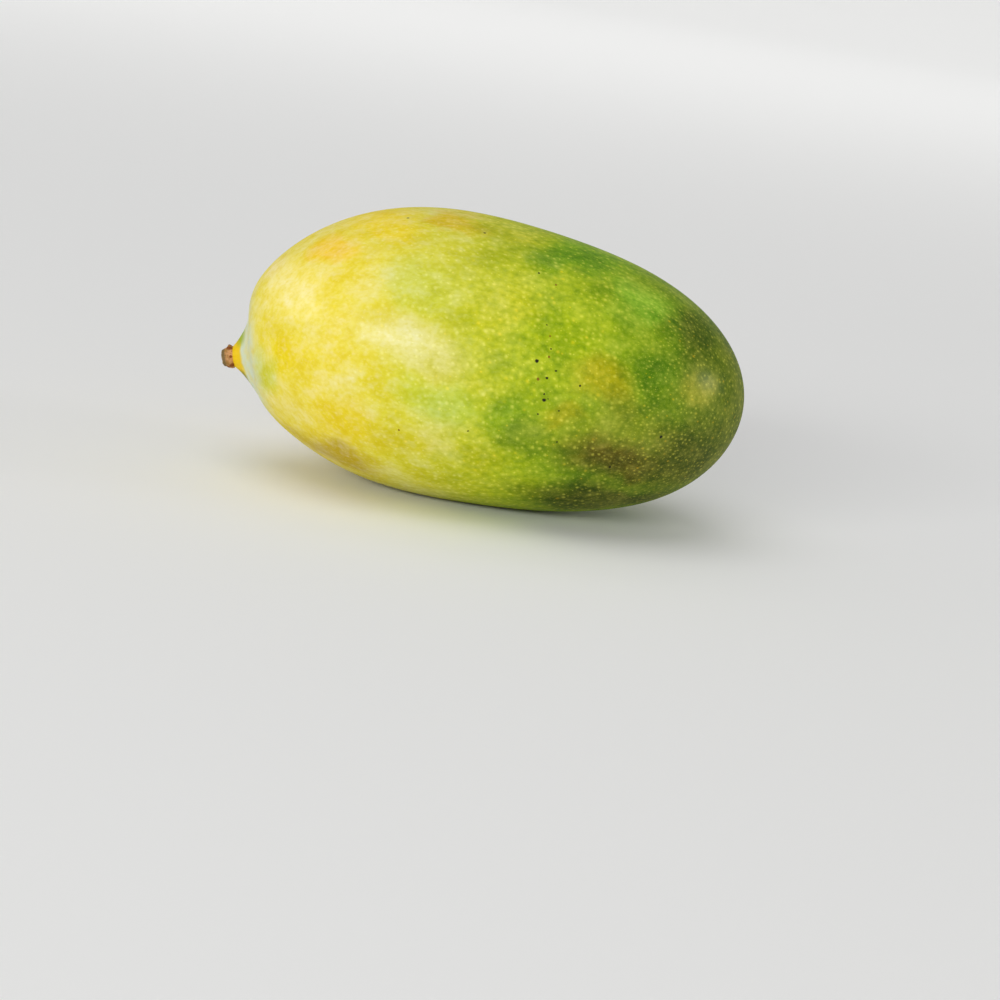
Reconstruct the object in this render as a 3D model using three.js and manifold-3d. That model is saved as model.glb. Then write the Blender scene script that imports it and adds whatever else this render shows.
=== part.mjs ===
// A whole mango lying on its cheek, with the short woody stub of its stalk.
// Millimetres, +Z up. The stalk points to -X, the tip of the fruit to +X, and the broad cheeks
// face up and down. The origin is under the middle of the fruit, on the surface it rests on.
import * as THREE from "three";
import { mergeVertices } from "three/addons/utils/BufferGeometryUtils.js";
import Module from "manifold-3d";

const wasm = await Module();
wasm.setup();

// The fruit is a row of oval rings on a gently bent spine. A ring's place on the spine is given by
// run, the cosine of an angle that goes from 0 at the stalk to PI at the tip: run is 1 at the
// stalk, 0 at mid-length and -1 at the tip. Each list below holds the factors of run's powers: the
// value at mid-length, then how the two ends differ (odd powers) and how both depart (even powers).
const SPINE_HALF_LENGTH = 65.4;
const SPINE_MIDDLE_X = -0.4;
const SPINE_HEIGHT = [0.2, 0.15, -4.2, -2.5];
const HALF_HEIGHT = [36.2, 3.0, 5.8, -6.1, -7.1];
const RING_LEAN = [-0.125, -0.087, 0, -0.041];

// The stalk end is blunter than an oval: its last rings are drawn back along the spine.
const BLUNTING = 8.4;
const BLUNTING_POWER = 20;

// Seen from above the fruit is broader than it is high, and bows a little to one side.
const CHEEK_WIDTH = 0.15;
const CHEEK_FULLNESS = 0.02;
const BOW = 2.4;

// Low swellings that keep the skin from being a perfect formula.
const SWELLING = 0.22;

// The nose is a small cone with hollow sides that the stalk grows from. The lip is how far its rim
// stands out beyond the middle of its top.
const NOSE_DROOP = THREE.MathUtils.degToRad(17.5);
const NOSE_RISE = 7.2;
const NOSE_RADIUS = 2.6;
const NOSE_SPREAD = 9.6;
const NOSE_HOLLOW = 1.8;
const NOSE_LIP = 0.45;

// The flat spot is where the fruit has settled on its underside.
const FLAT_DEPTH = 0.6;

// The stub's root stands in a socket in the nose, with a small gap on every side.
const GAP = 0.3;
const ROOT_RADIUS = 1.7;
const ROOT_DEPTH = 2.0;
const STUB_LENGTH = 2.7;
const STUB_RADIUS = 2.85;
const STUB_END_RADIUS = 1.9;
const PITH_RADIUS = 0.95;
const PITH_DEPTH = 0.7;
const SCAR_COUNT = 6;
const SCAR_SIZE = 0.11;

const RINGS = 56;
const RING_SIDES = 64;
const RING_CROWDING = 1.5;
const STUB_SIDES = 36;

const powers = (factors, run) => factors.reduceRight((sum, factor) => sum * run + factor, 0);

// The height of the low swellings at a place on the skin, before they are scaled.
function swelling(run, around) {
  const long = Math.sin(2 * around + 3.1 * run + 0.4);
  const short = 0.6 * Math.sin(3 * around - 4.7 * run + 1.9);
  const across = 0.5 * Math.sin(around + 7.3 * run);
  return (long + short + across) * (1 - run * run);
}

// A point of the skin before the nose is raised. Around is 0 on top and a quarter turn at the back.
function bodyPoint(angle, around) {
  const run = Math.cos(angle);
  const halfHeight = Math.sin(angle) * powers(HALF_HEIGHT, run);
  const halfWidth = halfHeight * (1 + CHEEK_WIDTH * (1 - run ** 4));
  const fullness = 1 + CHEEK_FULLNESS * Math.sin(2 * around) ** 2;
  const lift = SWELLING * swelling(run, around);
  const lean = powers(RING_LEAN, run);
  const up = (halfHeight * fullness + lift) * Math.cos(around);
  const side = (halfWidth * fullness + lift) * Math.sin(around);
  const drawnBack = BLUNTING * Math.max(0, run) ** BLUNTING_POWER;
  return new THREE.Vector3(
    SPINE_MIDDLE_X - SPINE_HALF_LENGTH * run + drawnBack + up * Math.sin(lean),
    BOW * (1 - run * run) + side,
    powers(SPINE_HEIGHT, run) + up * Math.cos(lean),
  );
}

const stalkWay = new THREE.Vector3(-Math.cos(NOSE_DROOP), 0, -Math.sin(NOSE_DROOP));
const stalkPole = bodyPoint(0, 0);
const noseTop = stalkPole.clone().addScaledVector(stalkWay, NOSE_RISE + NOSE_LIP);

// A point of the skin, with the nose raised along the way the stalk points.
function skinPoint(angle, around) {
  const point = bodyPoint(angle, around);
  if (angle > Math.PI / 2) return point;
  const fromPole = point.clone().sub(stalkPole);
  const offAxis = fromPole.addScaledVector(stalkWay, -fromPole.dot(stalkWay)).length();
  const share = THREE.MathUtils.clamp(1 - (offAxis - NOSE_RADIUS) / NOSE_SPREAD, 0, 1);
  return point.addScaledVector(stalkWay, NOSE_RISE * share ** NOSE_HOLLOW);
}

// A unit sphere with its poles on the stalk and the tip, each vertex moved out to the skin. The
// rings are crowded towards the stalk, where the nose needs them.
function skinGeometry() {
  const geometry = new THREE.SphereGeometry(1, RING_SIDES, RINGS);
  const position = geometry.getAttribute("position");
  const vertex = new THREE.Vector3();
  for (let i = 0; i < position.count; i++) {
    vertex.fromBufferAttribute(position, i);
    const share = Math.acos(THREE.MathUtils.clamp(vertex.y, -1, 1)) / Math.PI;
    const around = Math.atan2(-vertex.z, vertex.x);
    const point = skinPoint(Math.PI * share ** RING_CROWDING, around);
    position.setXYZ(i, point.x, point.y, point.z);
  }
  return geometry;
}

// A closed geometry as a solid. Only its positions count, so shared corners are merged.
function solidOf(geometry) {
  const bare = geometry.clone();
  bare.deleteAttribute("normal");
  bare.deleteAttribute("uv");
  const merged = mergeVertices(bare, 1e-3);
  return new wasm.Manifold(
    new wasm.Mesh({
      numProp: 3,
      vertProperties: new Float32Array(merged.attributes.position.array),
      triVerts: new Uint32Array(merged.index.array),
    }),
  );
}

function geometryOf(solid) {
  const mesh = solid.getMesh();
  const geometry = new THREE.BufferGeometry();
  geometry.setAttribute("position", new THREE.BufferAttribute(mesh.vertProperties, mesh.numProp));
  geometry.setIndex(new THREE.BufferAttribute(mesh.triVerts, 1));
  geometry.computeVertexNormals();
  return geometry;
}

// Turns a geometry made upright along +Y to stand on the nose and point the way of the stalk.
function onNose(geometry) {
  const turn = new THREE.Quaternion().setFromUnitVectors(new THREE.Vector3(0, 1, 0), stalkWay);
  return geometry.applyQuaternion(turn).translate(noseTop.x, noseTop.y, noseTop.z);
}

function latheOf(outline) {
  const points = outline.map(([radius, height]) => new THREE.Vector2(radius, height));
  return new THREE.LatheGeometry(points, STUB_SIDES);
}

// The plain hole in the nose that the stub's root stands in.
function socketGeometry() {
  const radius = ROOT_RADIUS + GAP;
  const floor = -ROOT_DEPTH - GAP;
  return onNose(latheOf([[0, floor], [radius, floor], [radius, NOSE_RISE], [0, NOSE_RISE]]));
}

// The stub: a root, a swollen foot with the scars of small scales round it, a tapering side and a
// cut end with a hollow where the pith has dried out.
function stubGeometry() {
  const rimRadius = (STUB_END_RADIUS + PITH_RADIUS) / 2;
  const geometry = latheOf([
    [0, -ROOT_DEPTH],
    [ROOT_RADIUS, -ROOT_DEPTH],
    [ROOT_RADIUS, GAP],
    [STUB_RADIUS * 0.93, GAP],
    [STUB_RADIUS, STUB_LENGTH * 0.2],
    [STUB_RADIUS * 0.99, STUB_LENGTH * 0.33],
    [STUB_RADIUS * 0.89, STUB_LENGTH * 0.5],
    [STUB_RADIUS * 0.79, STUB_LENGTH * 0.68],
    [STUB_RADIUS * 0.73, STUB_LENGTH * 0.84],
    [STUB_END_RADIUS, STUB_LENGTH * 0.95],
    [rimRadius, STUB_LENGTH],
    [PITH_RADIUS, STUB_LENGTH * 0.94],
    [PITH_RADIUS * 0.8, STUB_LENGTH - PITH_DEPTH],
    [0, STUB_LENGTH - PITH_DEPTH],
  ]);
  const position = geometry.getAttribute("position");
  for (let i = 0; i < position.count; i++) {
    const height = position.getY(i);
    const around = Math.atan2(position.getX(i), position.getZ(i));
    const onFoot = Math.max(0, 1 - Math.abs(height / STUB_LENGTH - 0.28) / 0.3);
    const scar = Math.max(0, Math.sin(SCAR_COUNT * around + 0.6 * Math.sin(2 * around)));
    const uneven = 0.04 * Math.sin(2 * around + 1.1) + 0.03 * Math.sin(5 * around);
    const swell = height > GAP ? 1 + SCAR_SIZE * onFoot * scar + uneven : 1;
    position.setX(i, position.getX(i) * swell);
    position.setZ(i, position.getZ(i) * swell);
  }
  return onNose(geometry);
}

// The bare fruit fixes where the surface lies: a little above its lowest point.
const skin = skinGeometry();
const stub = stubGeometry();
const boxOf = (geometry) => new THREE.Box3().setFromBufferAttribute(geometry.getAttribute("position"));
const fruitBox = boxOf(skin);
const wholeBox = fruitBox.clone().union(boxOf(stub));
const middle = wholeBox.getCenter(new THREE.Vector3());
const surfaceHeight = fruitBox.min.z + FLAT_DEPTH;

// The block under the surface, which is cut away to leave the flat spot.
function surfaceGeometry() {
  const size = 4 * SPINE_HALF_LENGTH;
  return new THREE.BoxGeometry(size, size, size).translate(0, 0, surfaceHeight - size / 2);
}

function fruit() {
  const solid = solidOf(skin).subtract(solidOf(surfaceGeometry())).subtract(solidOf(socketGeometry()));
  const material = new THREE.MeshStandardMaterial({ color: 0xbfc43a, roughness: 0.42, metalness: 0 });
  const mesh = new THREE.Mesh(geometryOf(solid), material);
  mesh.name = "fruit";
  return mesh;
}

function stem() {
  const material = new THREE.MeshStandardMaterial({ color: 0x6b4526, roughness: 0.85, metalness: 0 });
  const mesh = new THREE.Mesh(stub, material);
  mesh.name = "stem";
  return mesh;
}

const mango = new THREE.Group();
mango.name = "mango";
mango.position.set(-middle.x, -middle.y, -surfaceHeight);
mango.add(fruit(), stem());

export default mango;
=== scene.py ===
# %% [markdown]
# A mango, ripening from its stalk end.
#
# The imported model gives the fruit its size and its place. Here it gets its looks: a finer skin
# grown from the same rule as the solid, a bark stub with scabs and a pith hollow, and two
# materials made only of nodes. The scene is in metres, in the model's own frame: the stalk points
# to -X, the tip to +X, and the surface that the fruit lies on is z = 0.

# %% Load the frame
import math

import bpy
import numpy as np
from mathutils import Matrix, Vector, noise
from mathutils.bvhtree import BVHTree


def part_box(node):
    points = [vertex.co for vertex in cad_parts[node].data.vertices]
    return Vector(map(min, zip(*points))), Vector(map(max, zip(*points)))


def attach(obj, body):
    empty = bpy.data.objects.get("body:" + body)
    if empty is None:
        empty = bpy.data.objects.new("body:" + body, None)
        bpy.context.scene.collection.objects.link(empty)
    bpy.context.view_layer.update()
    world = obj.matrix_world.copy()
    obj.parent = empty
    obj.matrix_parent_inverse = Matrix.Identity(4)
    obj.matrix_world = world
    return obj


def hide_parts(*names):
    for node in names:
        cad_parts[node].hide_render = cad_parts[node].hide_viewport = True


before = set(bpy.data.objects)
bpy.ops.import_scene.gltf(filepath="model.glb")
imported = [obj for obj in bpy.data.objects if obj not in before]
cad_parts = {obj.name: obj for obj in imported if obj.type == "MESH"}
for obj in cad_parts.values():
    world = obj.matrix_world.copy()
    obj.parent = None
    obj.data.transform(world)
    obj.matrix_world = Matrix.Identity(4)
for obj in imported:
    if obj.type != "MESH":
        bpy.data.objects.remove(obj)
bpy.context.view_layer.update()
fruit_low, fruit_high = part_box("fruit")
MM = 0.001
print("fruit, mm:", [round(side / MM, 1) for side in fruit_high - fruit_low])

# %% [markdown]
# The skin's rule.
#
# A mango is a lopsided oval, so no sphere or ellipsoid follows it. It could be sculpted by hand or
# lofted through drawn sections. The way used here is a row of oval rings on a bent spine, because
# a few named sizes then hold the whole form and any density of mesh can be drawn from it. The
# place along the fruit is run: 1 at the stalk, 0 at mid-length, -1 at the tip. A list of factors
# gives the value at mid-length first, then what each higher power of run adds.

# %% The sizes of the skin, in millimetres
SPINE_HALF_LENGTH = 65.4
SPINE_MIDDLE_X = -0.4
SPINE_HEIGHT = [0.2, 0.15, -4.2, -2.5]
HALF_HEIGHT = [36.2, 3.0, 5.8, -6.1, -7.1]
RING_LEAN = [-0.125, -0.087, 0, -0.041]
BLUNTING = 8.4
BLUNTING_POWER = 20
CHEEK_WIDTH = 0.15
CHEEK_FULLNESS = 0.02
BOW = 2.4
SWELLING = 0.22


def powers(factors, run):
    """The sum of the factors times the powers of run, lowest power first."""
    return sum(factor * run**power for power, factor in enumerate(factors))


def swelling(run, around):
    """Low, broad swellings that die away at both ends. The numbers keep the waves out of step."""
    long = np.sin(2 * around + 3.1 * run + 0.4)
    short = 0.6 * np.sin(3 * around - 4.7 * run + 1.9)
    across = 0.5 * np.sin(around + 7.3 * run)
    return (long + short + across) * (1 - run * run)


def body_point(angle, around):
    """Points of the skin before the nose is raised. Around is 0 on top, a quarter turn at the back."""
    run = np.cos(angle)
    half_height = np.sin(angle) * powers(HALF_HEIGHT, run)
    half_width = half_height * (1 + CHEEK_WIDTH * (1 - run**4))
    fullness = 1 + CHEEK_FULLNESS * np.sin(2 * around) ** 2
    lift = SWELLING * swelling(run, around)
    lean = powers(RING_LEAN, run)
    up = (half_height * fullness + lift) * np.cos(around)
    side = (half_width * fullness + lift) * np.sin(around)
    drawn_back = BLUNTING * np.maximum(0, run) ** BLUNTING_POWER
    x = SPINE_MIDDLE_X - SPINE_HALF_LENGTH * run + drawn_back + up * np.sin(lean)
    y = BOW * (1 - run * run) + side
    z = powers(SPINE_HEIGHT, run) + up * np.cos(lean)
    return np.stack(np.broadcast_arrays(x, y, z), axis=-1)


# %% [markdown]
# The nose.
#
# Where the stalk grew, the skin rises in a small cone with hollow sides. It could be a piece of its
# own set on the fruit, but the real skin runs on without a seam, so the skin's own points are
# pushed out along the way the stalk points, less and less with their distance from its axis.

# %% Raise the nose
NOSE_DROOP = math.radians(17.5)
NOSE_RISE = 7.2
NOSE_RADIUS = 2.6
NOSE_SPREAD = 9.6
NOSE_HOLLOW = 1.8
NOSE_LIP = 0.45

stalk_way = np.array([-math.cos(NOSE_DROOP), 0, -math.sin(NOSE_DROOP)])
stalk_pole = body_point(np.array(0.0), np.array(0.0))


def off_axis(points):
    """How far points are from the stalk's axis."""
    from_pole = points - stalk_pole
    along = (from_pole @ stalk_way)[..., None] * stalk_way
    return np.linalg.norm(from_pole - along, axis=-1)


def skin_point(angle, around):
    """Points of the whole skin, nose included, in the rule's own millimetres."""
    points = body_point(angle, around)
    share = np.clip(1 - (off_axis(points) - NOSE_RADIUS) / NOSE_SPREAD, 0, 1)
    rise = NOSE_RISE * share**NOSE_HOLLOW * (angle < math.pi / 2)
    return points + rise[..., None] * stalk_way


# %% [markdown]
# Lay the rule's points over the solid.
#
# The solid is drawn from the same rule with fewer points. The fine skin is measured once, and then
# moved and pressed by hundredths of a millimetre until its box is the solid's, so that it stays
# inside it on every side.

# %% Find where the rule lies in the frame
RINGS = 288
RING_SIDES = 288
RING_CROWDING = 1.35
FLAT_DEPTH = 0.6

ring_angles = math.pi * np.linspace(0, 1, RINGS + 1) ** RING_CROWDING
side_angles = np.linspace(-math.pi, math.pi, RING_SIDES, endpoint=False)
ring_grid, side_grid = np.meshgrid(ring_angles[1:-1], side_angles, indexing="ij")
rule_points = skin_point(ring_grid, side_grid).reshape(-1, 3)
poles = skin_point(np.array([0.0, math.pi]), np.array([0.0, 0.0]))
rule_points = np.vstack([rule_points, poles])

rule_low = rule_points.min(axis=0) + [0, 0, FLAT_DEPTH]
rule_high = rule_points.max(axis=0)
press = (np.array(fruit_high) - np.array(fruit_low)) / (rule_high - rule_low)


def in_frame(points):
    """Takes points from the rule's millimetres to the model's frame, in metres."""
    return np.array(fruit_low) + (points - rule_low) * press


print("pressed by", [round(float(value / MM), 5) for value in press])

# %% [markdown]
# The camera.
#
# It stands where the photograph was taken from: square to the length of the fruit, a little above
# it. The fruit in the photograph leans down to the right. Here it lies level on the floor, so the
# camera is rolled instead. It aims so that the middle of the fruit falls on the pixel where the
# photograph has it. A long lens keeps the perspective as flat as it is there.

# %% Aim the camera
PHOTO_SIZE = 1000
FRUIT_MIDDLE_PIXEL = (490.4, 363.15)
FRUIT_LENGTH = 128.0
FRUIT_LENGTH_IN_PIXELS = 507.0
PIXEL = FRUIT_LENGTH / FRUIT_LENGTH_IN_PIXELS * MM
CAMERA_ELEVATION = math.radians(12)
CAMERA_ROLL = math.radians(9)
LENS = 100
SENSOR = 36
NEAREST = 10 * MM

look = Vector((0, math.cos(CAMERA_ELEVATION), -math.sin(CAMERA_ELEVATION)))
level = Vector((1, 0, 0))
upright = level.cross(look)
right = level * math.cos(CAMERA_ROLL) + upright * math.sin(CAMERA_ROLL)
above = upright * math.cos(CAMERA_ROLL) - level * math.sin(CAMERA_ROLL)

fruit_middle = Vector(in_frame(np.zeros(3)))
off_right = (PHOTO_SIZE / 2 - FRUIT_MIDDLE_PIXEL[0]) * PIXEL
off_above = (FRUIT_MIDDLE_PIXEL[1] - PHOTO_SIZE / 2) * PIXEL
aim = fruit_middle + right * off_right + above * off_above
distance = PHOTO_SIZE * PIXEL * LENS / SENSOR
eye = aim - look * distance

camera = bpy.data.objects.new("camera", bpy.data.cameras.new("camera"))
camera.data.lens = LENS
camera.data.sensor_width = SENSOR
camera.data.clip_start = NEAREST
turn = Matrix((right, above, -look)).transposed()
camera.matrix_world = Matrix.Translation(eye) @ turn.to_4x4()
bpy.context.scene.collection.objects.link(camera)
bpy.context.scene.camera = camera
print("camera stands", round(distance, 3), "m from the fruit")

# %% [markdown]
# The skin as a mesh.
#
# The rings are joined to their neighbours by four-sided faces, with a fan of triangles at each
# pole. Real skin isn't as even as a formula, and a highlight shows it at once, so each point is
# also moved by a slow and a quick noise, a tenth of a millimetre or so, stretched lengthwise as
# the dents on the fruit are. Where the fruit meets the floor it has settled into a flat spot with
# a soft edge.

# %% Build the skin
DENT = 0.10 * MM
DENT_LENGTH = 26 * MM
DENT_STRETCH = 0.6
RIPPLE = 0.018 * MM
RIPPLE_LENGTH = 6 * MM
RIPPLE_START = Vector((7.3, 1.9, 4.1))
SETTLING = 0.12 * MM


def mesh_object(name, points, faces):
    """A smooth-shaded mesh object made from points and faces."""
    mesh = bpy.data.meshes.new(name)
    mesh.from_pydata([tuple(point) for point in points], [], faces)
    mesh.shade_smooth()
    mesh.update()
    made = bpy.data.objects.new(name, mesh)
    bpy.context.scene.collection.objects.link(made)
    return made


def band_faces(rows, sides):
    """Four-sided faces between closed rows of points."""
    faces = []
    for row in range(rows - 1):
        here, there = row * sides, (row + 1) * sides
        for side in range(sides):
            following = (side + 1) % sides
            faces.append((here + side, there + side, there + following, here + following))
    return faces


def capped_faces(rows, sides):
    """The same, closed by fans to a first and a last pole, the two points after the rows."""
    faces = band_faces(rows, sides)
    first, last, last_row = rows * sides, rows * sides + 1, (rows - 1) * sides
    for side in range(sides):
        following = (side + 1) % sides
        faces.append((first, side, following))
        faces.append((last, last_row + following, last_row + side))
    return faces


def dents(place):
    """How far a point of the skin is moved in or out by dents and ripples."""
    stretched = Vector((place.x * DENT_STRETCH, place.y, place.z))
    slow = noise.noise(stretched / DENT_LENGTH)
    quick = noise.noise(stretched / RIPPLE_LENGTH + RIPPLE_START)
    return DENT * slow + RIPPLE * quick


def settle(height):
    """Lets a height come down to the floor and no further, with a soft edge."""
    return 0.5 * (height + np.sqrt(height**2 + SETTLING**2))


def per_vertex(mesh, name):
    """A mesh's places or normals as rows of three numbers."""
    values = np.empty(3 * len(mesh.vertices))
    mesh.vertices.foreach_get(name, values)
    return values.reshape(-1, 3)


skin_points = in_frame(rule_points)
skin = mesh_object("mango_skin", skin_points, capped_faces(RINGS - 1, RING_SIDES))
depth = np.array([DENT - dents(Vector(point)) for point in skin_points])
skin_points = skin_points - per_vertex(skin.data, "normal") * depth[:, None]
skin_points[:, 2] = settle(skin_points[:, 2])
skin.data.vertices.foreach_set("co", skin_points.ravel())
skin.data.update()
skin_faces = [list(face.vertices) for face in skin.data.polygons]
skin_tree = BVHTree.FromPolygons(skin_points.tolist(), skin_faces)
print("skin:", len(skin.data.polygons), "faces, lowest", round(skin_points[:, 2].min() / MM, 4))

# %% [markdown]
# From a pixel of the photograph to a place on the skin.
#
# Freckles and patches are read off the photograph as pixels. A line of sight through the pixel
# finds the place on the skin, and from there on the mark belongs to the skin and not to the
# camera. The same line, mirrored by the skin, tells where a lamp has to stand for its highlight to
# fall where the photograph has it.

# %% Sight lines
def sight(pixel):
    """The way from the camera through a pixel."""
    across, down = pixel
    return (look * distance + right * (across - PHOTO_SIZE / 2) * PIXEL
            - above * (down - PHOTO_SIZE / 2) * PIXEL).normalized()


def skin_at(pixel):
    """The place and the normal of the skin under a pixel."""
    place, normal, _, _ = skin_tree.ray_cast(eye, sight(pixel))
    return place, normal


def mirrored(pixel):
    """The way that the skin under a pixel mirrors the camera's line of sight."""
    return sight(pixel).reflect(skin_at(pixel)[1])


print("middle of the front, mm:", [round(value / MM, 1) for value in skin_at(FRUIT_MIDDLE_PIXEL)[0]])

# %% [markdown]
# Helpers for materials.
#
# A material is a web of nodes. It could be joined up by hand in the shader editor. These few
# helpers keep each finish readable in a script: one adds a node and fills its sockets, one mixes
# two colours, one turns a given colour into the linear light that the renderer counts in.

# %% Node helpers
def new_material(name):
    """An empty material, ready for nodes."""
    material = bpy.data.materials.new(name)
    material.use_nodes = True
    material.node_tree.nodes.clear()
    return material


def add(tree, kind, inputs=None, **options):
    """Adds a node, sets its options, and fills sockets with values or with other nodes' outputs."""
    made = tree.nodes.new("ShaderNode" + kind)
    for option, value in options.items():
        setattr(made, option, value)
    for socket, value in (inputs or {}).items():
        if isinstance(value, bpy.types.NodeSocket):
            tree.links.new(value, made.inputs[socket])
        else:
            made.inputs[socket].default_value = value
    return made


def surface(tree, inputs):
    """Ends a material with a shader, its sockets filled, joined to the output."""
    shader = add(tree, "BsdfPrincipled", inputs)
    add(tree, "OutputMaterial", {"Surface": shader.outputs["BSDF"]})


def light(red, green, blue):
    """A given colour, each part 0 to 255, as linear light by the usual screen curve."""
    parts = [part / 255 for part in (red, green, blue)]
    return tuple(p / 12.92 if p <= 0.04045 else ((p + 0.055) / 1.055) ** 2.4 for p in parts) + (1,)


def mixed(tree, share, under, over, blend="MIX"):
    """One colour laid over another by a share from 0 to 1."""
    mix = add(tree, "Mix", data_type="RGBA", blend_type=blend, clamp_factor=True)
    for socket, value in ((mix.inputs[0], share), (mix.inputs[6], under), (mix.inputs[7], over)):
        if isinstance(value, bpy.types.NodeSocket):
            tree.links.new(value, socket)
        else:
            socket.default_value = value
    return mix.outputs[2]


def calc(tree, operation, first, second):
    """One step of arithmetic on numbers."""
    return add(tree, "Math", {0: first, 1: second}, operation=operation).outputs[0]


def ramp(tree, value, start, end, low=0.0, high=1.0):
    """A soft step: low where value is at start, high where it is at end."""
    inputs = {"Value": value, "From Min": start, "From Max": end, "To Min": low, "To Max": high}
    return add(tree, "MapRange", inputs, interpolation_type="SMOOTHSTEP").outputs["Result"]


def cloud(tree, place, size, detail=2.0, roughness=0.5, seed=0.0):
    """Noise with features of a given size in metres. Returns its value and its colour."""
    moved = add(tree, "VectorMath", {0: place, 1: (seed, seed * 0.7, seed * 1.3)}, operation="ADD")
    inputs = {"Vector": moved.outputs[0], "Scale": 1 / size, "Detail": detail, "Roughness": roughness}
    made = add(tree, "TexNoise", inputs)
    return made.outputs["Fac"], made.outputs["Color"]


def wandering(tree, place, size, reach, seed=0.0):
    """A place moved about by noise, so that what is drawn with it has an uneven edge."""
    _, colour = cloud(tree, place, size, seed=seed)
    centred = add(tree, "VectorMath", {0: colour, 1: (0.5, 0.5, 0.5)}, operation="SUBTRACT")
    moved = add(tree, "VectorMath", {0: centred.outputs[0], 3: reach}, operation="SCALE")
    return add(tree, "VectorMath", {0: place, 1: moved.outputs[0]}, operation="ADD").outputs[0]


print("helpers ready")

# %% [markdown]
# The ground colour.
#
# A mango of this kind ripens from the stalk: butter yellow there, yellow-green past the middle,
# deep green and olive at the tip. One ramp along the length gives that. The place that it reads
# is first moved about by noise, slow and then quicker, so the colours meet in drifts and tongues
# and not in straight bands.

# %% Ground colour along the fruit
HALF_FRUIT = 66 * MM
RIPENING = [
    (0.00, (230, 214, 70)),
    (0.22, (234, 216, 78)),
    (0.38, (218, 212, 64)),
    (0.50, (200, 202, 36)),
    (0.60, (176, 190, 16)),
    (0.72, (146, 172, 16)),
    (0.84, (118, 148, 16)),
    (0.93, (104, 124, 8)),
    (1.00, (110, 122, 10)),
]


def ground_colour(tree, place):
    """The colour that changes from the stalk to the tip."""
    split = add(tree, "SeparateXYZ", {0: place})
    share = ramp(tree, split.outputs["X"], -HALF_FRUIT, HALF_FRUIT)
    share.node.interpolation_type = "LINEAR"
    colours = add(tree, "ValToRGB", {"Fac": share})
    stops = colours.color_ramp.elements
    while len(stops) < len(RIPENING):
        stops.new(0.5)
    for stop, (position, colour) in zip(stops, RIPENING):
        stop.position = position
        stop.color = light(*colour)
    return colours.outputs["Color"]


# %% [markdown]
# Patches.
#
# Sun, shade and rubbing leave patches that no ramp gives: a cream shoulder, warm stains, a dark
# green flank, an olive belly. The dark patches along the bottom edge, the low right, the belly and
# the low tip are also painted shade, and two pale ones are painted light: a painted highlight round
# the glint and a painted sheen on the tip. Each is a soft egg of colour round a place on the skin.
# Those on the photographed side are placed by their pixel. The others go on by run and turn, so
# that the back, the top and the belly are as lively as the front.

# %% Patches of colour
# Name: pixel, half width and half height in pixels, colour, strength
FRONT_PATCHES = {
    "cream shoulder": ((290, 282), (46, 34), (246, 230, 134), 0.8),
    "beige shoulder": ((277, 264), (22, 15), (242, 224, 158), 0.6),
    "warm shoulder": ((330, 250), (32, 14), (244, 202, 20), 0.85),
    "warm crown": ((376, 227), (56, 13), (246, 216, 10), 0.65),
    "orange crown": ((445, 217), (52, 11), (226, 188, 4), 0.7),
    "olive crown": ((520, 233), (30, 12), (200, 196, 40), 0.5),
    "yellow by the stalk": ((288, 352), (32, 24), (236, 214, 6), 0.8),
    "cream by the stalk": ((305, 309), (24, 14), (248, 234, 130), 0.5),
    "green shadow in the yellow": ((425, 288), (44, 30), (196, 204, 66), 0.55),
    "green low middle": ((445, 398), (44, 26), (180, 204, 46), 0.6),
    "golden low left": ((350, 430), (44, 24), (230, 206, 18), 0.7),
    "yellow low": ((412, 444), (40, 22), (212, 198, 20), 0.5),
    # Partly painted shade: the bottom edge is darkened to ochre as if in shadow.
    "warm low edge, partly painted shade": ((330, 452), (60, 18), (178, 148, 4), 0.7),
    # Painted highlight: a pale patch round the glint.
    "painted highlight round the glint": ((404, 340), (66, 26), (224, 216, 138), 0.6),
    "green by the nose": ((267, 366), (22, 28), (192, 204, 66), 0.6),
    "yellow tongue": ((510, 300), (28, 34), (202, 200, 6), 0.7),
    "low yellow green": ((480, 462), (36, 20), (182, 184, 0), 0.7),
    "green crown": ((590, 262), (58, 22), (120, 168, 2), 0.85),
    "deep green crown": ((600, 268), (26, 14), (84, 134, 0), 0.65),
    "green edge of the crown": ((545, 258), (26, 16), (118, 160, 10), 0.6),
    "green upper right": ((642, 303), (34, 20), (156, 200, 54), 0.75),
    "pale green cheek": ((620, 324), (30, 13), (174, 198, 60), 0.5),
    "green middle": ((570, 335), (40, 36), (178, 194, 6), 0.6),
    "green below the freckles": ((512, 414), (30, 28), (122, 166, 10), 0.6),
    "green low middle right": ((532, 440), (36, 24), (104, 136, 0), 0.75),
    "orange olive": ((600, 387), (38, 22), (186, 168, 0), 0.7),
    "ochre": ((567, 422), (17, 15), (190, 172, 0), 0.6),
    "green by the tip": ((655, 367), (28, 21), (84, 130, 6), 0.7),
    "olive stain": ((625, 407), (28, 17), (126, 130, 4), 0.5),
    "olive low right": ((632, 444), (74, 40), (126, 132, 6), 0.6),
    # Partly painted shade: the low right is darkened to brown olive.
    "brown olive, partly painted shade": ((624, 464), (66, 24), (86, 66, 0), 0.85),
    # Partly painted shade: the belly is darkened as if in shadow.
    "dark olive belly, partly painted shade": ((606, 502), (96, 28), (50, 58, 0), 0.9),
    # Partly painted shade: the underside of the tip is darkened.
    "dark low tip, partly painted shade": ((690, 456), (56, 46), (74, 82, 0), 0.85),
    "dark tip": ((702, 342), (26, 38), (74, 94, 4), 0.8),
    # Painted sheen: a pale patch on the tip.
    "painted sheen on the tip": ((704, 382), (22, 17), (190, 182, 60), 0.7),
}
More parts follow.
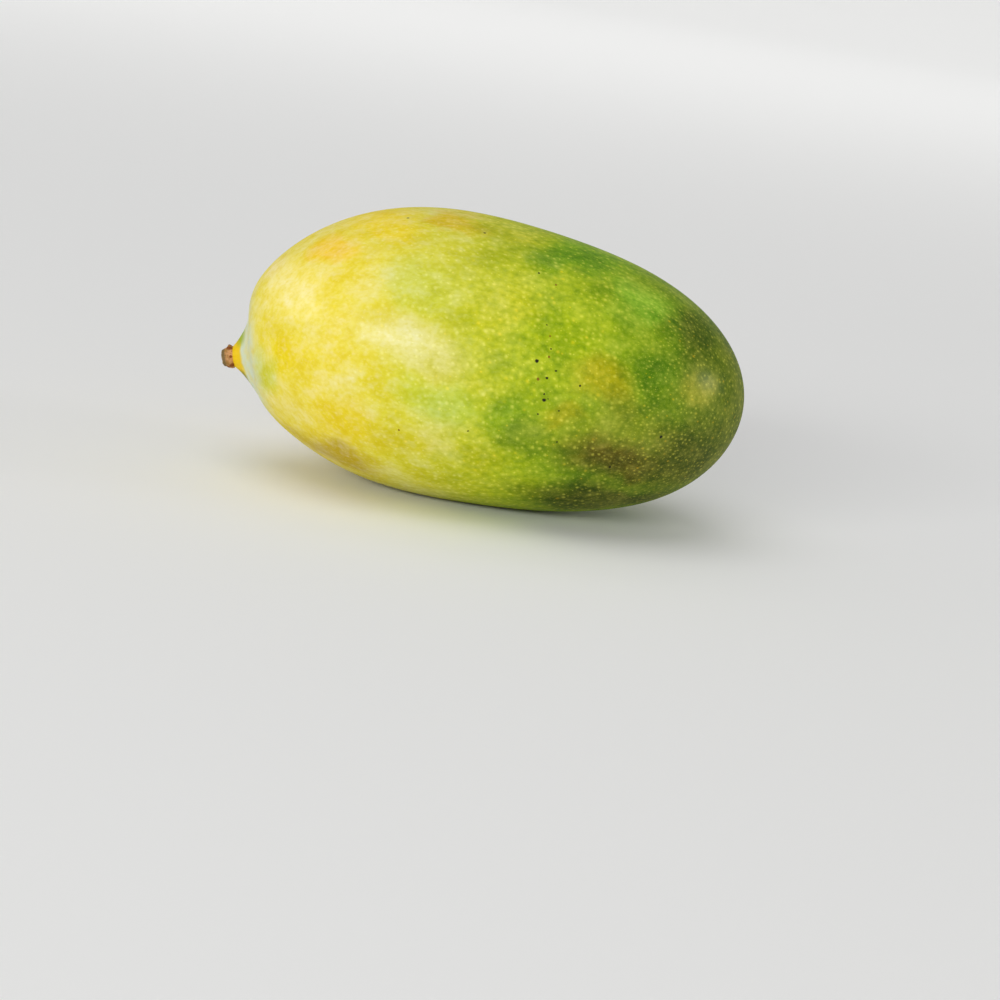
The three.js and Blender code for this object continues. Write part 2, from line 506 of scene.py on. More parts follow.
# Name: run, turn from the top in degrees, half length and half height in millimetres, colour, strength
OTHER_PATCHES = {
    "sunny back": ((0.45, 100), (26, 22), (240, 212, 70), 0.6),
    "cream back shoulder": ((0.78, 60), (14, 12), (246, 230, 140), 0.6),
    "warm back": ((0.15, 70), (16, 10), (226, 186, 52), 0.6),
    "green back": ((-0.25, 95), (22, 16), (126, 166, 46), 0.7),
    "deep green back": ((-0.6, 70), (18, 16), (84, 134, 38), 0.7),
    "olive back": ((-0.5, 130), (20, 16), (140, 140, 34), 0.6),
    "yellow tongue on the back": ((-0.1, 140), (20, 9), (208, 196, 50), 0.6),
    "green belly": ((-0.1, 180), (40, 24), (142, 166, 56), 0.6),
    "pale belly": ((0.35, 190), (22, 18), (214, 206, 92), 0.6),
    "green top": ((-0.35, 15), (18, 14), (118, 156, 50), 0.6),
    "olive tip": ((-0.95, 180), (16, 14), (104, 112, 38), 0.6),
}


# A patch fades from its core to its rim, in half sizes.
PATCH_CORE = 0.35
PATCH_RIM = 1.25
# How deep a patch read off the photograph goes, in shares of its larger half size
PATCH_DEPTH = 1.3


def patch_share(tree, place, centre, half_sizes, strength):
    """How strongly a soft egg of colour shows at a place."""
    offset = add(tree, "VectorMath", {0: place, 1: centre}, operation="SUBTRACT").outputs[0]
    scaled = add(tree, "VectorMath", {0: offset, 1: half_sizes}, operation="DIVIDE").outputs[0]
    reach = add(tree, "VectorMath", {0: scaled}, operation="LENGTH").outputs["Value"]
    return ramp(tree, reach, PATCH_RIM, PATCH_CORE, high=strength)


def with_patches(tree, place, colour):
    """Lays every patch over a colour, one after another."""
    for pixel, (half_wide, half_high), paint, strength in FRONT_PATCHES.values():
        wide, high = half_wide * PIXEL, half_high * PIXEL
        sizes = (wide, PATCH_DEPTH * max(wide, high), high)
        share = patch_share(tree, place, skin_at(pixel)[0], sizes, strength)
        colour = mixed(tree, share, colour, light(*paint))
    for (run, turn), (half_long, half_high), paint, strength in OTHER_PATCHES.values():
        centre = in_frame(skin_point(np.array(math.acos(run)), np.array(math.radians(turn))))
        sizes = (half_long * MM, half_high * MM, half_high * MM)
        share = patch_share(tree, place, centre, sizes, strength)
        colour = mixed(tree, share, colour, light(*paint))
    return colour


print(len(FRONT_PATCHES) + len(OTHER_PATCHES), "patches")

# %% [markdown]
# Mottling and pores.
#
# Close up the colour is cloudy, like watercolour: paler and darker drifts from a centimetre down to
# a millimetre, drawn out lengthwise. Over it lie the pores, round pale dots a little under two
# millimetres apart, with smaller ones between. They could be thousands of small meshes, but they
# are only colour, so flat cells of Voronoi noise give them, one dot to a cell. To lay flat cells on
# a round fruit, each point of the mesh carries how far it is along the skin from the stalk and
# which way round it lies. From these the skin is laid flat as a strip, and near the tip as a disc,
# so that the cells don't crowd into rays there. The pores stand out on green and almost drown in
# yellow.

# %% Where each point lies on the skin
# The strip is as wide as a ring of this radius is long.
GIRTH_RADIUS = 37 * MM

run_steps = np.cos(ring_angles)
heights = np.sin(ring_angles) * powers(HALF_HEIGHT, run_steps)
meridian = np.stack([SPINE_HALF_LENGTH * run_steps, heights], axis=1)
step_lengths = np.linalg.norm(np.diff(meridian, axis=0), axis=1)
travelled = np.concatenate([[0], np.cumsum(step_lengths)]) * MM
turns = np.concatenate([side_grid.ravel(), [0, 0]])
along = np.concatenate([np.repeat(travelled[1:-1], RING_SIDES), [travelled[0], travelled[-1]]])
lie = np.stack([np.sin(turns), np.cos(turns), along], axis=1)
skin.data.attributes.new("lie", "FLOAT_VECTOR", "POINT").data.foreach_set("vector", lie.ravel())
SKIN_LENGTH = float(travelled[-1])
print("from stalk to tip along the skin, mm:", round(SKIN_LENGTH / MM, 1))

# %% Mottling
# Size in millimetres: strength
MOTTLES = {10.0: 0.6, 4.0: 0.45, 1.8: 0.38, 0.8: 0.36}
DRIFT_STRETCH = (0.7, 1, 1)
# The noise at which a drift starts to show, and at which it is full
PALE_DRIFT = (0.48, 0.72)
DEEP_DRIFT = (0.52, 0.28)
# Light added by pale drifts, and the share of light that deep ones let through
PALE_ON_YELLOW = (0.10, 0.12, 0.17, 1)
PALE_ON_GREEN = (0.12, 0.11, 0.02, 1)
DEEP_ON_YELLOW = (0.93, 0.87, 0.1, 1)
DEEP_ON_GREEN = (0.5, 0.66, 0.25, 1)


def with_mottling(tree, place, colour, greenness):
    """Pale and deep drifts of several sizes, stretched lengthwise."""
    stretched = add(tree, "VectorMath", {0: place, 1: DRIFT_STRETCH}, operation="MULTIPLY").outputs[0]
    pale = mixed(tree, greenness, PALE_ON_YELLOW, PALE_ON_GREEN)
    deep = mixed(tree, greenness, DEEP_ON_YELLOW, DEEP_ON_GREEN)
    for size, strength in MOTTLES.items():
        drift, _ = cloud(tree, stretched, size * MM, detail=1.5, seed=size)
        colour = mixed(tree, ramp(tree, drift, *PALE_DRIFT, high=strength), colour, pale, "SCREEN")
        colour = mixed(tree, ramp(tree, drift, *DEEP_DRIFT, high=strength), colour, deep, "MULTIPLY")
    return colour


print("mottling of", len(MOTTLES), "sizes")

# %% Flat cells on the skin
# How much closer the pores lie round the tip
TIP_CROWDING = 1.3
SHIFT_SIZE = 1.5 * MM
# A dot's radius varies between these shares, and its core is full up to this share of it.
DOT_SMALLEST = 0.5
DOT_LARGEST = 1.25
DOT_CORE = 0.15


def on_skin(tree, place, reach, round_tip=False):
    """The skin laid flat as a strip, or as a disc round the tip, and moved a little by noise."""
    carried = add(tree, "Attribute", attribute_name="lie").outputs["Vector"]
    split = add(tree, "SeparateXYZ", {0: carried})
    if round_tip:
        left = calc(tree, "SUBTRACT", SKIN_LENGTH, split.outputs["Z"])
        from_tip = calc(tree, "MULTIPLY", left, TIP_CROWDING)
        first = calc(tree, "MULTIPLY", from_tip, split.outputs["X"])
        second = calc(tree, "MULTIPLY", from_tip, split.outputs["Y"])
    else:
        turn_round = calc(tree, "ARCTAN2", split.outputs["X"], split.outputs["Y"])
        first = split.outputs["Z"]
        second = calc(tree, "MULTIPLY", turn_round, GIRTH_RADIUS)
    flat = add(tree, "CombineXYZ", {0: first, 1: second}).outputs[0]
    _, shift = cloud(tree, place, SHIFT_SIZE, detail=3.0, roughness=0.65, seed=3.7)
    centred = add(tree, "VectorMath", {0: shift, 1: (0.5, 0.5, 0.5)}, operation="SUBTRACT").outputs[0]
    moved = add(tree, "VectorMath", {0: centred, 3: reach}, operation="SCALE").outputs[0]
    return add(tree, "VectorMath", {0: flat, 1: moved}, operation="ADD").outputs[0]


def dots(tree, spot, spacing, radius):
    """One dot to a cell. Returns the dots, the distance to them in cells, and two random numbers."""
    inputs = {"Vector": spot, "Scale": 1 / spacing, "Randomness": 1.0}
    cells = add(tree, "TexVoronoi", inputs, voronoi_dimensions="2D")
    kind = add(tree, "SeparateColor", {"Color": cells.outputs["Color"]})
    smallest, largest = DOT_SMALLEST * radius / spacing, DOT_LARGEST * radius / spacing
    edge = ramp(tree, kind.outputs["Red"], 0.0, 1.0, smallest, largest)
    core = calc(tree, "MULTIPLY", edge, DOT_CORE)
    dot = ramp(tree, cells.outputs["Distance"], edge, core)
    return dot, cells.outputs["Distance"], kind.outputs["Green"], kind.outputs["Blue"]


print("pores round the tip lie", TIP_CROWDING, "times closer")

# %% Pores
PORE_SPACING = 1.75 * MM
PORE_RADIUS = 0.56 * MM
SMALL_PORE_SPACING = 0.95 * MM
SMALL_PORE_RADIUS = 0.32 * MM
PORE_SHIFT = 0.5 * MM
# From the middle of the fruit: where the strip gives way to the disc, and where pores grow clear
DISC_EDGE = (30 * MM, 40 * MM)
CLEAR_PORES = (-55 * MM, -10 * MM)
# In cells from a pore: the skin starts to darken at the first, and is darkest from the second.
GAP_EDGE = (0.3, 0.75)
GAP_SHADE = (0.62, 0.76, 0.3, 1)
SMALL_PORE_GLOW = (0.12, 0.12, 0.02, 1)
PORE_GLOW_ON_YELLOW = (0.2, 0.2, 0.09, 1)
PORE_GLOW_ON_GREEN = (0.3, 0.28, 0.035, 1)
RUSTY_PORE_GLOW = (0.36, 0.19, 0.005, 1)
# Few pores draw a number high enough to be rusty.
RUSTY_DRAW = (0.88, 0.97)


def pore_layout(tree, spot):
    """Large pores, the gaps between them, two random numbers for each, and small pores."""
    small, _, _, _ = dots(tree, spot, SMALL_PORE_SPACING, SMALL_PORE_RADIUS)
    return *dots(tree, spot, PORE_SPACING, PORE_RADIUS), small


def with_pores(tree, place, colour, greenness):
    """Lays large and small pores over a colour. Returns the colour and the pores' relief."""
    from_middle = add(tree, "SeparateXYZ", {0: place}).outputs["X"]
    near_tip = ramp(tree, from_middle, *DISC_EDGE)
    strip = pore_layout(tree, on_skin(tree, place, PORE_SHIFT))
    disc = pore_layout(tree, on_skin(tree, place, PORE_SHIFT, round_tip=True))
    large, between, chance, tint, small = (
        add(tree, "Mix", {0: near_tip, 2: first, 3: second}).outputs[0]
        for first, second in zip(strip, disc)
    )
    gaps = ramp(tree, between, *GAP_EDGE)
    shadow = calc(tree, "MULTIPLY", gaps, ramp(tree, greenness, 0.2, 1.0, high=0.5))
    colour = mixed(tree, shadow, colour, GAP_SHADE, "MULTIPLY")
    faint = calc(tree, "MULTIPLY", small, ramp(tree, greenness, 0.3, 1.0, low=0.1, high=0.6))
    colour = mixed(tree, faint, colour, SMALL_PORE_GLOW, "SCREEN")
    pale = mixed(tree, greenness, PORE_GLOW_ON_YELLOW, PORE_GLOW_ON_GREEN)
    glow = mixed(tree, ramp(tree, tint, *RUSTY_DRAW), pale, RUSTY_PORE_GLOW)
    clearness = ramp(tree, from_middle, *CLEAR_PORES, low=0.3, high=1.0)
    fade = calc(tree, "MULTIPLY", ramp(tree, chance, 0.0, 0.9, low=0.15, high=1.0), clearness)
    return mixed(tree, calc(tree, "MULTIPLY", large, fade), colour, glow, "SCREEN"), large


print("pores every", round(PORE_SPACING / MM, 2), "mm")

# %% [markdown]
# Freckles.
#
# Sap and thrips leave tiny dark specks. Each one that the photograph shows clearly goes where it
# is, and a rare scatter of others is drawn by a rule over the rest of the fruit.

# %% Freckles
# Pixel: radius in millimetres
FRECKLES = {
    (537, 361): 0.48,
    (544, 400): 0.48,
    (547, 378): 0.36,
    (556, 371): 0.26,
    (544, 394): 0.26,
    (548, 399): 0.22,
    (559, 411): 0.24,
    (551, 349): 0.24,
    (547, 325): 0.2,
    (539, 273): 0.3,
    (485, 233): 0.36,
    (408, 218): 0.34,
    (580, 386): 0.28,
    (610, 467): 0.34,
    (661, 437): 0.4,
    (557, 442): 0.24,
    (468, 431): 0.24,
    (538, 414): 0.22,
}
RUSTY_FRECKLES = {
    (549, 357): 0.34,
    (556, 285): 0.3,
    (538, 379): 0.4,
    (399, 430): 0.28,
    (550, 336): 0.24,
}
# A freckle fades from its core to its rim, in radii.
FRECKLE_CORE = 0.6
FRECKLE_RIM = 1.25
FRECKLE_NOTCH = 0.7 * MM
FRECKLE_SHIFT = 0.45 * MM
SCATTER_SPACING = 8 * MM
SCATTER_RADIUS = 0.34 * MM
SCATTER_SHIFT = 0.6 * MM
# Across the fruit: the scatter starts at the first and is full from the second.
HIDDEN_SIDE = (-6 * MM, 2 * MM)
RARE_DRAW = (0.55, 0.6)
RUST = light(132, 92, 20)
SAP = light(26, 28, 8)
FADED_SAP = light(52, 44, 16)


def freckle_share(tree, place, freckles):
    """1 inside any of the freckles, 0 outside, with an uneven edge."""
    share = 0.0
    for pixel, radius in freckles.items():
        inputs = {0: place, 1: skin_at(pixel)[0]}
        reach = add(tree, "VectorMath", inputs, operation="DISTANCE").outputs["Value"]
        spot = ramp(tree, reach, FRECKLE_RIM * radius * MM, FRECKLE_CORE * radius * MM)
        share = calc(tree, "MAXIMUM", share, spot)
    return share


def with_freckles(tree, place, colour):
    """Dark and rusty freckles, and on the hidden side a rare scatter of small ones."""
    uneven = wandering(tree, place, FRECKLE_NOTCH, FRECKLE_SHIFT, seed=5.1)
    colour = mixed(tree, freckle_share(tree, uneven, RUSTY_FRECKLES), colour, RUST)
    colour = mixed(tree, freckle_share(tree, uneven, FRECKLES), colour, SAP)
    spot = on_skin(tree, place, SCATTER_SHIFT)
    scatter, _, chance, _ = dots(tree, spot, SCATTER_SPACING, SCATTER_RADIUS)
    rare = calc(tree, "MULTIPLY", scatter, ramp(tree, chance, *RARE_DRAW, high=0.85))
    depth = add(tree, "SeparateXYZ", {0: place}).outputs["Y"]
    hidden = calc(tree, "MULTIPLY", rare, ramp(tree, depth, *HIDDEN_SIDE))
    return mixed(tree, hidden, colour, FADED_SAP)


print(len(FRECKLES) + len(RUSTY_FRECKLES), "freckles placed")

# %% [markdown]
# The wax round the nose.
#
# A mango wears a natural wax. Round the nose it is thick, and shows as a pale bluish bloom that
# thins out unevenly over the shoulder, while the rim of the nose itself is orange-yellow. Both
# could be painted by hand on the mesh. Here they are rings round the top of the nose, with edges
# that noise moves in and out, so they follow the form at any density of mesh.

# %% Bloom and collar
nose_top = Vector(in_frame(stalk_pole + (NOSE_RISE + NOSE_LIP) * stalk_way))
BLOOM = light(207, 221, 204)
COLLAR = light(236, 196, 10)
# From the top of the nose: a ring starts at the first distance and is full at the second.
BLOOM_INNER = (5.6 * MM, 7.6 * MM)
BLOOM_OUTER = (23 * MM, 12.5 * MM)
COLLAR_EDGE = (6.8 * MM, 5.0 * MM)
WAVE_SIZE = 5 * MM
BLOOM_WAVE = 7 * MM
COLLAR_WAVE = 2.5 * MM
COLLAR_STRENGTH = 0.9
BREAK_SIZE = 3 * MM
BREAK_EDGE = (0.35, 0.6)
# From the middle of the nose's top, in millimetres: centre, half sizes, colour, strength
NOSE_PATCHES = {
    "green on top of the nose": ((2.6, -1.5, 5.4), (2.8, 4.5, 2.8), (140, 170, 10), 0.85),
    # Painted shade: the skin under the nose is darkened to olive.
    "painted shade under the nose": ((4.2, -1.8, -3.8), (2.8, 3.5, 2.2), (122, 122, 14), 0.85),
}


def with_bloom(tree, place, colour):
    """The orange rim of the nose and the waxy bloom round it. Returns the colour and the bloom."""
    from_nose = add(tree, "VectorMath", {0: place, 1: nose_top}, operation="DISTANCE").outputs["Value"]
    waves, _ = cloud(tree, place, WAVE_SIZE, seed=6.2)
    breaks, _ = cloud(tree, place, BREAK_SIZE, detail=3.0, seed=7.5)
    wave = calc(tree, "SUBTRACT", waves, 0.5)
    reach = calc(tree, "ADD", from_nose, calc(tree, "MULTIPLY", wave, BLOOM_WAVE))
    inner = ramp(tree, reach, *BLOOM_INNER)
    band = calc(tree, "MULTIPLY", inner, ramp(tree, reach, *BLOOM_OUTER))
    broken = calc(tree, "MULTIPLY", band, ramp(tree, breaks, *BREAK_EDGE, low=0.5, high=0.85))
    colour = mixed(tree, broken, colour, BLOOM)
    rim = calc(tree, "ADD", from_nose, calc(tree, "MULTIPLY", wave, COLLAR_WAVE))
    collar = ramp(tree, rim, *COLLAR_EDGE)
    colour = mixed(tree, calc(tree, "MULTIPLY", collar, COLLAR_STRENGTH), colour, COLLAR)
    for offset, half_sizes, paint, strength in NOSE_PATCHES.values():
        centre = nose_top + Vector(offset) * MM
        share = patch_share(tree, place, centre, Vector(half_sizes) * MM, strength)
        colour = mixed(tree, share, colour, light(*paint))
    return colour, band


print("bloom reaches", round(BLOOM_OUTER[0] / MM, 1), "mm from the top of the nose")

# %% [markdown]
# The finish of the skin.
#
# Ripe mango skin has a satin gloss that is duller where the wax is thick. A plain gloss would veil
# the dark greens at the edges, so the ground is left without shine and a thin coat over it gives
# the highlight, with a painted highlight in the colour round it. A little light that travels under
# the surface softens the shading, and the bump of grain and pores is kept far below what the eye
# would call rough.

# %% Skin material
# How the colours drift: size and reach in millimetres, seed
DRIFTS = [(30, 16, 0.0), (7, 5, 0.6), (2.2, 1.6, 0.9)]
# Along the fruit: the skin starts to count as green at the first, and is all green at the second.
GREEN_EDGE = (-30 * MM, 20 * MM)
WAX_SIZE = 9 * MM
WAX_EDGE = (0.3, 0.7)
# Roughness where the wax is thinnest and thickest, and what the bloom adds
GLOSSIEST = 0.34
DULLEST = 0.46
BLOOM_DULLNESS = 0.2
GRAIN_SIZE = 0.7 * MM
GRAIN_SHARE = 0.35
PORE_SHARE = -0.4
SKIN_RELIEF = 0.05 * MM
FLESH_GLOW = (1.0, 0.8, 0.25)
FLESH_DEPTH = 1.5 * MM


def skin_material():
    """Waxy fruit skin, yellow at the stalk and green at the tip."""
    material = new_material("waxy mango skin")
    tree = material.node_tree
    place = add(tree, "TexCoord").outputs["Object"]
    drifting = place
    for size, reach, seed in DRIFTS:
        drifting = wandering(tree, drifting, size * MM, reach * MM, seed=seed)
    split = add(tree, "SeparateXYZ", {0: drifting})
    greenness = ramp(tree, split.outputs["X"], *GREEN_EDGE)

    colour = ground_colour(tree, drifting)
    colour = with_patches(tree, drifting, colour)
    colour = with_mottling(tree, place, colour, greenness)
    colour, relief = with_pores(tree, place, colour, greenness)
    colour, bloom = with_bloom(tree, place, colour)
    colour = with_freckles(tree, place, colour)

    wax, _ = cloud(tree, place, WAX_SIZE, detail=3.0, roughness=0.6, seed=8.8)
    waxed = ramp(tree, wax, *WAX_EDGE, GLOSSIEST, DULLEST)
    roughness = calc(tree, "ADD", waxed, calc(tree, "MULTIPLY", bloom, BLOOM_DULLNESS))
    grain, _ = cloud(tree, place, GRAIN_SIZE, seed=9.4)
    raised = calc(tree, "MULTIPLY", grain, GRAIN_SHARE)
    height = calc(tree, "ADD", raised, calc(tree, "MULTIPLY", relief, PORE_SHARE))
    bump = add(tree, "Bump", {"Strength": 0.25, "Distance": SKIN_RELIEF, "Height": height})

    surface(tree, {
        "Base Color": colour, "Roughness": roughness, "Normal": bump.outputs["Normal"],
        "IOR": 1.45, "Specular IOR Level": 0.0,
        "Subsurface Weight": 0.12, "Subsurface Radius": FLESH_GLOW, "Subsurface Scale": FLESH_DEPTH,
        "Coat Weight": 0.2, "Coat Roughness": 0.3, "Coat IOR": 1.8,
    })
    return material


skin.data.materials.append(skin_material())
print("skin material:", len(skin.data.materials[0].node_tree.nodes), "nodes")

# %% [markdown]
# The stub of the stalk.
#
# When a mango is picked, a few millimetres of woody stalk stay on. The stub is turned like a knob
# from an outline: a swollen foot, a tapering side, a blunt rim and a hollow where the pith has
# dried out. It could be carved by hand, but an outline keeps its sizes in sight. Then its points
# are pushed about: scabs left by fallen scales stand out on the foot, bark ridges run up the side,
# and the cut end is torn. Two numbers stay with each point for the material to read: how scabby it
# is there, and how far up the outline it lies.

# %% The sizes of the stub, in millimetres
STUB_LENGTH = 2.7
STUB_RADIUS = 2.85
STUB_END_RADIUS = 1.9
PITH_RADIUS = 0.95
PITH_DEPTH = 0.7
STUB_SINK = 0.35
SCAB_RISE = 0.32
# Turn in degrees, height and radius in millimetres
SCABS = [
    (-152, 0.35, 0.85),
    (-50, 0.25, 0.8),
    (-38, 1.35, 0.45),
    (-100, 0.2, 0.4),
    (18, 0.4, 0.8),
    (74, 0.3, 0.7),
    (128, 0.9, 0.5),
    (165, 0.3, 0.7),
]
STUB_OUTLINE = [
    (STUB_RADIUS * 0.86, -STUB_SINK),
    (STUB_RADIUS * 0.96, STUB_LENGTH * 0.1),
    (STUB_RADIUS * 0.99, STUB_LENGTH * 0.22),
    (STUB_RADIUS * 0.96, STUB_LENGTH * 0.36),
    (STUB_RADIUS * 0.87, STUB_LENGTH * 0.52),
    (STUB_RADIUS * 0.79, STUB_LENGTH * 0.68),
    (STUB_RADIUS * 0.73, STUB_LENGTH * 0.84),
    (STUB_END_RADIUS, STUB_LENGTH * 0.95),
    ((STUB_END_RADIUS + PITH_RADIUS) / 2, STUB_LENGTH * 0.985),
    (PITH_RADIUS, STUB_LENGTH * 0.94),
    (PITH_RADIUS * 0.8, STUB_LENGTH - PITH_DEPTH),
    (PITH_RADIUS * 0.3, STUB_LENGTH - PITH_DEPTH * 0.9),
]
STUB_ROWS = 90
STUB_SIDES = 160
SMOOTHINGS = 3


def smooth_outline(corners, count):
    """Evenly spaced points on a soft line through an outline's corners, and each one's share of it."""
    corners = np.array(corners)
    steps = np.linalg.norm(np.diff(corners, axis=0), axis=1)
    travelled = np.concatenate([[0], np.cumsum(steps)])
    shares = np.linspace(0, travelled[-1], count)
    points = np.stack([np.interp(shares, travelled, corners[:, axis]) for axis in (0, 1)], axis=1)
    for _ in range(SMOOTHINGS):
        points[1:-1] = (points[:-2] + 2 * points[1:-1] + points[2:]) / 4
    return points, shares / travelled[-1]


stub_rows, row_shares = smooth_outline(STUB_OUTLINE, STUB_ROWS)
print("stub outline:", len(stub_rows), "rows")

# %% Scabs, ridges and torn bark
# How much each swells the radius, in shares of it
LUMPS = 0.05
RIDGES = 0.03
GRIT = 0.02
# How far the torn end stands up or in, in millimetres
TEAR = 0.14
# How far up the outline the scabs reach, and where it starts to be torn
SCABS_END = 0.5
TEAR_START = 0.55


def scabbiness(height, turn):
    """1 in the middle of a scab, 0 off every scab."""
    most = 0.0
    for scab_turn, scab_height, scab_radius in SCABS:
        apart = math.remainder(turn - math.radians(scab_turn), 2 * math.pi) * STUB_RADIUS
        reach = math.hypot(apart, height - scab_height) / scab_radius
        most = max(most, 1 - reach**2)
    return most


def stub_point(radius, height, share, turn):
    """A point of the stub, pushed about by scabs, ridges and torn bark, and how scabby it is."""
    scab = scabbiness(height, turn) if share < SCABS_END else 0.0
    front, side = math.cos(turn), math.sin(turn)
    lumps = noise.noise(Vector((3 * front, 3 * side, height * 1.2)))
    ridges = noise.noise(Vector((9 * front, 9 * side, height * 1.5)))
    grit = noise.noise(Vector((radius * front, radius * side, height)) * 5)
    swell = 1 + LUMPS * lumps + RIDGES * ridges * (1 - scab) + GRIT * grit
    torn = TEAR * (lumps + grit) if share > TEAR_START else 0.0
    return radius * swell + SCAB_RISE * math.sqrt(scab), height + torn, scab


stub_up = Vector(stalk_way)
stub_side = Vector((0, 1, 0))
stub_front = stub_up.cross(stub_side)


def stand_on_nose(radius, height, turn):
    """Takes a point of the stub to the top of the nose."""
    outward = stub_side * math.sin(turn) + stub_front * math.cos(turn)
    return nose_top + (outward * radius + stub_up * height) * MM


print("stub points towards", [round(value, 2) for value in stub_up])

# %% Build the stub
stub_points, scabs, shares = [], [], []
for (row_radius, row_height), row_share in zip(stub_rows, row_shares):
    for side in range(STUB_SIDES):
        turn_angle = 2 * math.pi * side / STUB_SIDES
        radius, height, scab = stub_point(row_radius, row_height, row_share, turn_angle)
        stub_points.append(stand_on_nose(radius, height, turn_angle))
        scabs.append(scab)
        shares.append(row_share)
for row_height, row_share in ((-STUB_SINK, 0.0), (STUB_LENGTH - PITH_DEPTH * 0.9, 1.0)):
    stub_points.append(stand_on_nose(0, row_height, 0))
    scabs.append(0)
    shares.append(row_share)

stub = mesh_object("stalk_stub", stub_points, capped_faces(STUB_ROWS, STUB_SIDES))
for name, values in (("scab", scabs), ("share", shares)):
    stub.data.attributes.new(name, "FLOAT", "POINT").data.foreach_set("value", values)
print("stub:", len(stub.data.polygons), "faces")

# %% [markdown]
# Bark, scabs and the cut end.
#
# The side of the stub is tan to pinkish brown, streaked along its length. The scabs are dark
# red-brown, the torn rim is grey-green, the wood ring on the end is pale, and the pith hollow is
# nearly black. All of it is dry, so the finish is rough. Masks painted by hand would do too, but
# the two numbers that the points carry already say where each colour starts.

# %% Stub material
BARK = light(160, 116, 54)
PINKISH_BARK = light(204, 150, 102)
CRACKS = light(104, 76, 30)
TORN_RIM = light(92, 84, 48)
PALE_WOOD = light(176, 150, 108)
PITH = light(40, 28, 20)
SCAB = light(122, 62, 14)
BARK_SIZE = 1.4 * MM
CRACK_SIZE = 0.35 * MM
BARK_RELIEF = 0.12 * MM
# How far the borders on the cut end wander, as a share of the outline
WANDER = 0.12
# Shares of the outline between which each finish of the cut end comes in
RIM_START = (0.36, 0.50)
WOOD_START = (0.58, 0.64)
PITH_START = (0.72, 0.80)


def attribute(tree, name):
    """A number that the mesh carries at each point."""
    return add(tree, "Attribute", attribute_name=name).outputs["Fac"]


def bark_material():
    """Dry stalk bark with scabs, a pale wood ring and a dark pith."""
    material = new_material("dry stalk bark")
    tree = material.node_tree
    place = add(tree, "TexCoord").outputs["Object"]
    share = attribute(tree, "share")
    scab = attribute(tree, "scab")
    broad, _ = cloud(tree, place, BARK_SIZE, detail=3.0, seed=0.2)
    fine, _ = cloud(tree, place, CRACK_SIZE, detail=3.0, seed=0.5)
    colour = mixed(tree, ramp(tree, broad, 0.35, 0.65), BARK, PINKISH_BARK)
    colour = mixed(tree, ramp(tree, fine, 0.48, 0.3, high=0.7), colour, CRACKS)
    wave = calc(tree, "MULTIPLY", calc(tree, "SUBTRACT", broad, 0.5), WANDER)
    uneven = calc(tree, "ADD", share, wave)
    colour = mixed(tree, ramp(tree, uneven, *RIM_START, high=0.8), colour, TORN_RIM)
    colour = mixed(tree, ramp(tree, uneven, *WOOD_START, high=0.8), colour, PALE_WOOD)
    colour = mixed(tree, ramp(tree, uneven, *PITH_START), colour, PITH)
    colour = mixed(tree, ramp(tree, scab, 0.05, 0.5, high=0.92), colour, SCAB)
    bump = add(tree, "Bump", {"Strength": 0.7, "Distance": BARK_RELIEF, "Height": fine})
    surface(tree, {
        "Base Color": colour, "Roughness": ramp(tree, fine, 0.3, 0.7, low=0.6, high=0.85),
        "Normal": bump.outputs["Normal"], "IOR": 1.45, "Specular IOR Level": 0.35,
    })
    return material


stub.data.materials.append(bark_material())
print("bark material:", len(stub.data.materials[0].node_tree.nodes), "nodes")

# %% [markdown]
# Hand the pieces to the frame.
#
# Nothing on the fruit moves, so both pieces ride on the one body. Each hides the solid that it
# stands for, which stays behind for weight and contact.

# %% Join the pieces to the model
for piece, node, finish in ((skin, "fruit", "skin"), (stub, "stem", "stalk")):
    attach(piece, "root")
    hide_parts(node)
print("pieces:", skin.name, stub.name)

# %% [markdown]
# The studio.
#
# The fruit lies in the middle of a wide round sheet of pale paper whose edge curves up, so that no
# side shows a horizon. The main lamp stands where the skin mirrors it to the camera at the pixel of
# the photograph's highlight, which is behind the camera and above it. A small, weak one does the
# same for the sheen on the tip. A wide one overhead keeps the paper bright round the fruit, and
# another lights the curve behind it. Lamps set by eye would do, but the highlights would wander.

# %% Paper sheet
SHEET_MIDDLE = 0.5
SHEET_FLAT = 4.0
SHEET_CURVE = 2.5
SHEET_SIDES = 96
CURVE_ROWS = 24

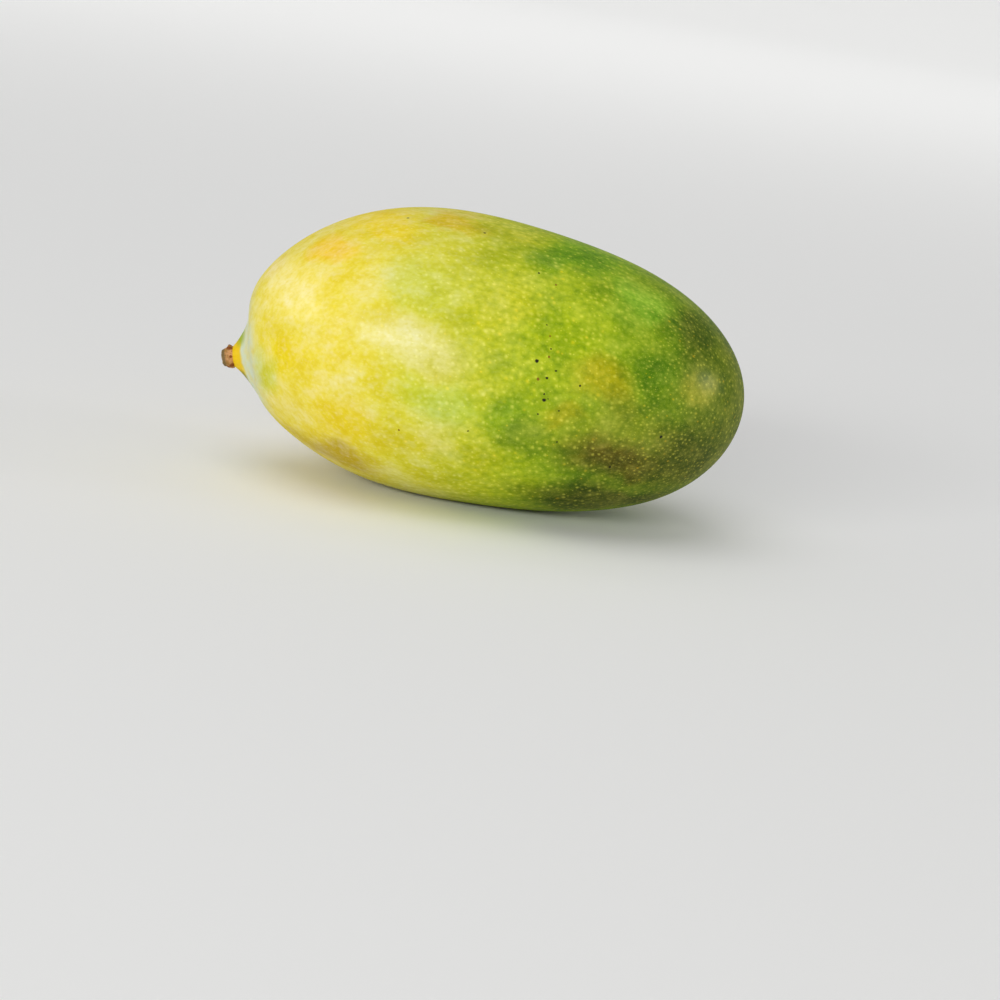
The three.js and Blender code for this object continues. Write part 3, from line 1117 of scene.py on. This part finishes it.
sheet_rows = [(SHEET_MIDDLE, 0.0), (SHEET_FLAT, 0.0)]
for step in range(1, CURVE_ROWS + 1):
    bend = math.pi / 2 * step / CURVE_ROWS
    reach = SHEET_FLAT + SHEET_CURVE * math.sin(bend)
    sheet_rows.append((reach, SHEET_CURVE * (1 - math.cos(bend))))
sheet_turns = [2 * math.pi * side / SHEET_SIDES for side in range(SHEET_SIDES)]
sheet_points = [
    (reach * math.cos(turn_angle), reach * math.sin(turn_angle), rise)
    for reach, rise in sheet_rows for turn_angle in sheet_turns
]
sheet_faces = band_faces(len(sheet_rows), SHEET_SIDES) + [tuple(range(SHEET_SIDES))]
floor = mesh_object("floor", sheet_points, sheet_faces)

PAPER = light(246, 246, 245)
paper = new_material("pale paper")
surface(paper.node_tree, {"Base Color": PAPER, "Roughness": 0.9, "Specular IOR Level": 0.1})
floor.data.materials.append(paper)
print("sheet:", 2 * (SHEET_FLAT + SHEET_CURVE), "m wide")

# %% Lamps
KEY_PIXEL = (394, 339)
SHEEN_PIXEL = (708, 382)


def soft_lamp(name, place, target, sizes, power, spread=180):
    """A soft lamp at a place, turned to a target. Sizes are across and upward, spread in degrees."""
    towards = Vector(place) - Vector(target)
    lamp = bpy.data.objects.new(name, bpy.data.lights.new(name, "AREA"))
    lamp.data.shape = "RECTANGLE"
    lamp.data.size, lamp.data.size_y = sizes
    lamp.data.energy = power
    lamp.data.spread = math.radians(spread)
    lamp.location = place
    lamp.rotation_mode = "QUATERNION"
    lamp.rotation_quaternion = towards.to_track_quat("Z", "Y")
    bpy.context.scene.collection.objects.link(lamp)
    print(name, "stands at", [round(value, 2) for value in lamp.location])


def glint(name, pixel, away, sizes, power):
    """A lamp that the skin mirrors to the camera at a pixel."""
    place, _ = skin_at(pixel)
    soft_lamp(name, place + mirrored(pixel) * away, place, sizes, power)


glint("key", KEY_PIXEL, away=2.5, sizes=(1.8, 0.42), power=36)
glint("sheen", SHEEN_PIXEL, away=1.3, sizes=(0.25, 0.25), power=1.6)
soft_lamp("ceiling", place=(-0.5, -0.4, 2.2), target=(0, 0, 0), sizes=(2.0, 2.0), power=14)
soft_lamp("backdrop", place=(0, 2.8, 2.6), target=(0, 3.8, 0), sizes=(6.0, 4.0), power=52, spread=130)

# %% Light of the room
ROOM_LIGHT = 0.34
world = bpy.data.worlds.new("white room")
world.use_nodes = True
world.node_tree.nodes["Background"].inputs["Color"].default_value = (1, 1, 1, 1)
world.node_tree.nodes["Background"].inputs["Strength"].default_value = ROOM_LIGHT
bpy.context.scene.world = world
bpy.context.scene.view_settings.view_transform = "Standard"
print("room light:", ROOM_LIGHT)
